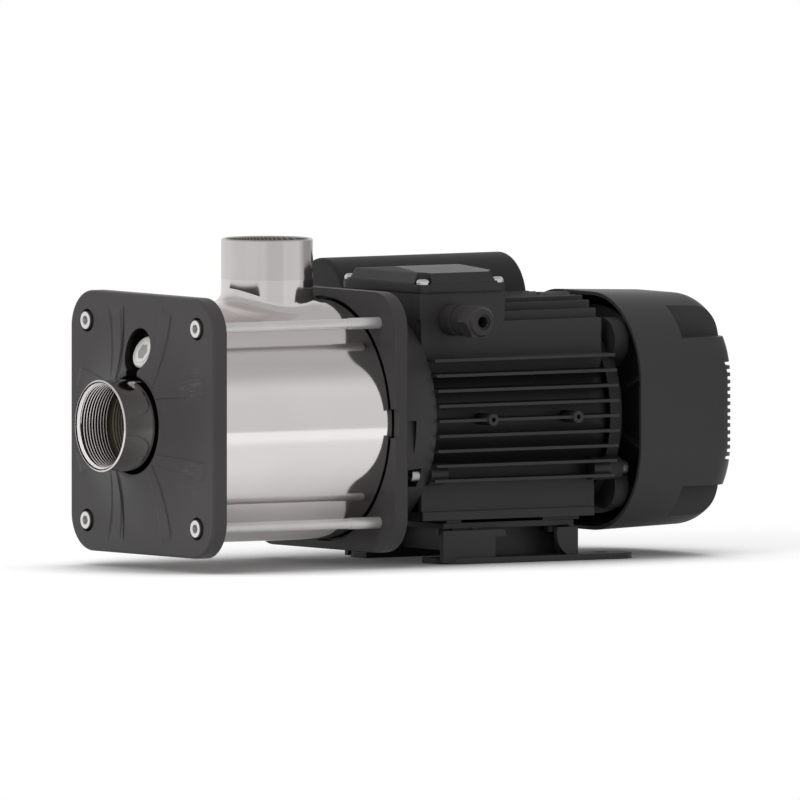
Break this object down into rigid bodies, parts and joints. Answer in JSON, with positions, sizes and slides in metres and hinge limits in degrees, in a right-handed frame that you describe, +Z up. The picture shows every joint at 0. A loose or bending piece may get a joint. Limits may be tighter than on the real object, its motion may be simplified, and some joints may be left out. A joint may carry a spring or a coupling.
{
  "type": "multistage centrifugal pump",
  "caption": "Horizontal close-coupled multistage pump: threaded suction at the front, vertical threaded discharge, stainless shell between tie-bolted plates, finned fan-cooled motor on a foot.",
  "frame": {"origin": "on the floor under the foot, at the centre of its four bolt holes", "axes": "+X along the shaft from the suction port to the fan, +Z up along the discharge port, -Y to the side with the cable gland; the shaft is 100 mm up"},
  "size_m": [0.477, 0.2061, 0.2257],
  "materials": {
    "black_cast": "cast, black powder coat, satin",
    "stainless": "polished stainless sheet",
    "bright_steel": "bright plated steel",
    "screw_steel": "zinc plated steel",
    "black_steel": "pressed steel, black paint, satin",
    "black_plastic": "fine grained black moulding",
    "black_rubber": "moulded black rubber",
    "seal_ceramic": "lapped silicon carbide and carbon",
    "core_steel": "stacked laminations",
    "copper": "varnished copper wire",
    "brass": "plain brass",
    "cage_aluminium": "die-cast aluminium",
    "capacitor_shell": "smooth grey casing"
  },
  "bodies": {
    "pump": {"front_plate": "black_cast", "motor_bracket": "black_cast", "motor_housing": "black_cast", "rear_end_shield": "black_cast", "terminal_lid": "black_cast", "pump_sleeve": "stainless", "discharge_port": "stainless", "inlet_cover": "stainless", "inlet_spacer": "stainless", "discharge_ring": "stainless", "seal_plate": "stainless", "neck_rings": "stainless", "stage_chamber_1": "stainless", "stage_chamber_2": "stainless", "stage_chamber_3": "stainless", "stage_chamber_4": "stainless", "tie_bolts": "bright_steel", "bearing_outer_rings": "bright_steel", "bearing_spring": "bright_steel", "bracket_screws": "screw_steel", "end_shield_screws": "screw_steel", "lid_screws": "screw_steel", "fan_cover_screws": "screw_steel", "capacitor_screws": "screw_steel", "earth_screw": "screw_steel", "motor_foot": "black_steel", "foot_screws": "black_steel", "fan_cover": "black_plastic", "capacitor_cover": "black_plastic", "capacitor_base": "black_plastic", "terminal_block": "black_plastic", "gland_body": "black_plastic", "gland_nut": "black_plastic", "sleeve_orings": "black_rubber", "lid_gasket": "black_rubber", "gland_seal": "black_rubber", "seal_seat": "seal_ceramic", "stator_core": "core_steel", "stator_windings": "copper", "terminal_studs": "brass", "capacitor": "capacitor_shell"},
    "rotor": {"motor_shaft": "bright_steel", "rotor_core": "core_steel", "rotor_cage": "cage_aluminium", "impeller_spacers": "stainless", "impeller_nut": "stainless", "seal_ring": "seal_ceramic", "seal_bellows": "black_rubber", "bearing_inner_rings": "bright_steel", "bearing_balls": "bright_steel", "water_slinger": "black_rubber", "cooling_fan": "black_plastic", "fan_clip": "bright_steel", "impeller_1": "stainless", "impeller_2": "stainless", "impeller_3": "stainless", "impeller_4": "stainless"},
    "plug_slide_body": {"plug_washer": "black_rubber"},
    "plug": {"priming_plug": "bright_steel"}
  },
  "joints": [
    {"name": "rotor_spin", "type": "hinge", "parent": "pump", "child": "rotor", "pos_m": [0, 0, 0.1], "axis": [1, 0, 0], "continuous": true},
    {"name": "plug_out", "type": "slide", "parent": "pump", "child": "plug_slide_body", "axis": [-0.9205, 0, 0.3907], "range_m": [0, 0.01205]},
    {"name": "plug_turn", "type": "hinge", "parent": "plug_slide_body", "child": "plug", "pos_m": [-0.2864, 0, 0.1505], "axis": [-0.9205, 0, 0.3907], "range_deg": [0, 3240]}
  ],
  "couplings": [
    {"joint": "plug_out", "follows": "plug_turn", "m_per_rad": 0.00021279}
  ]
}
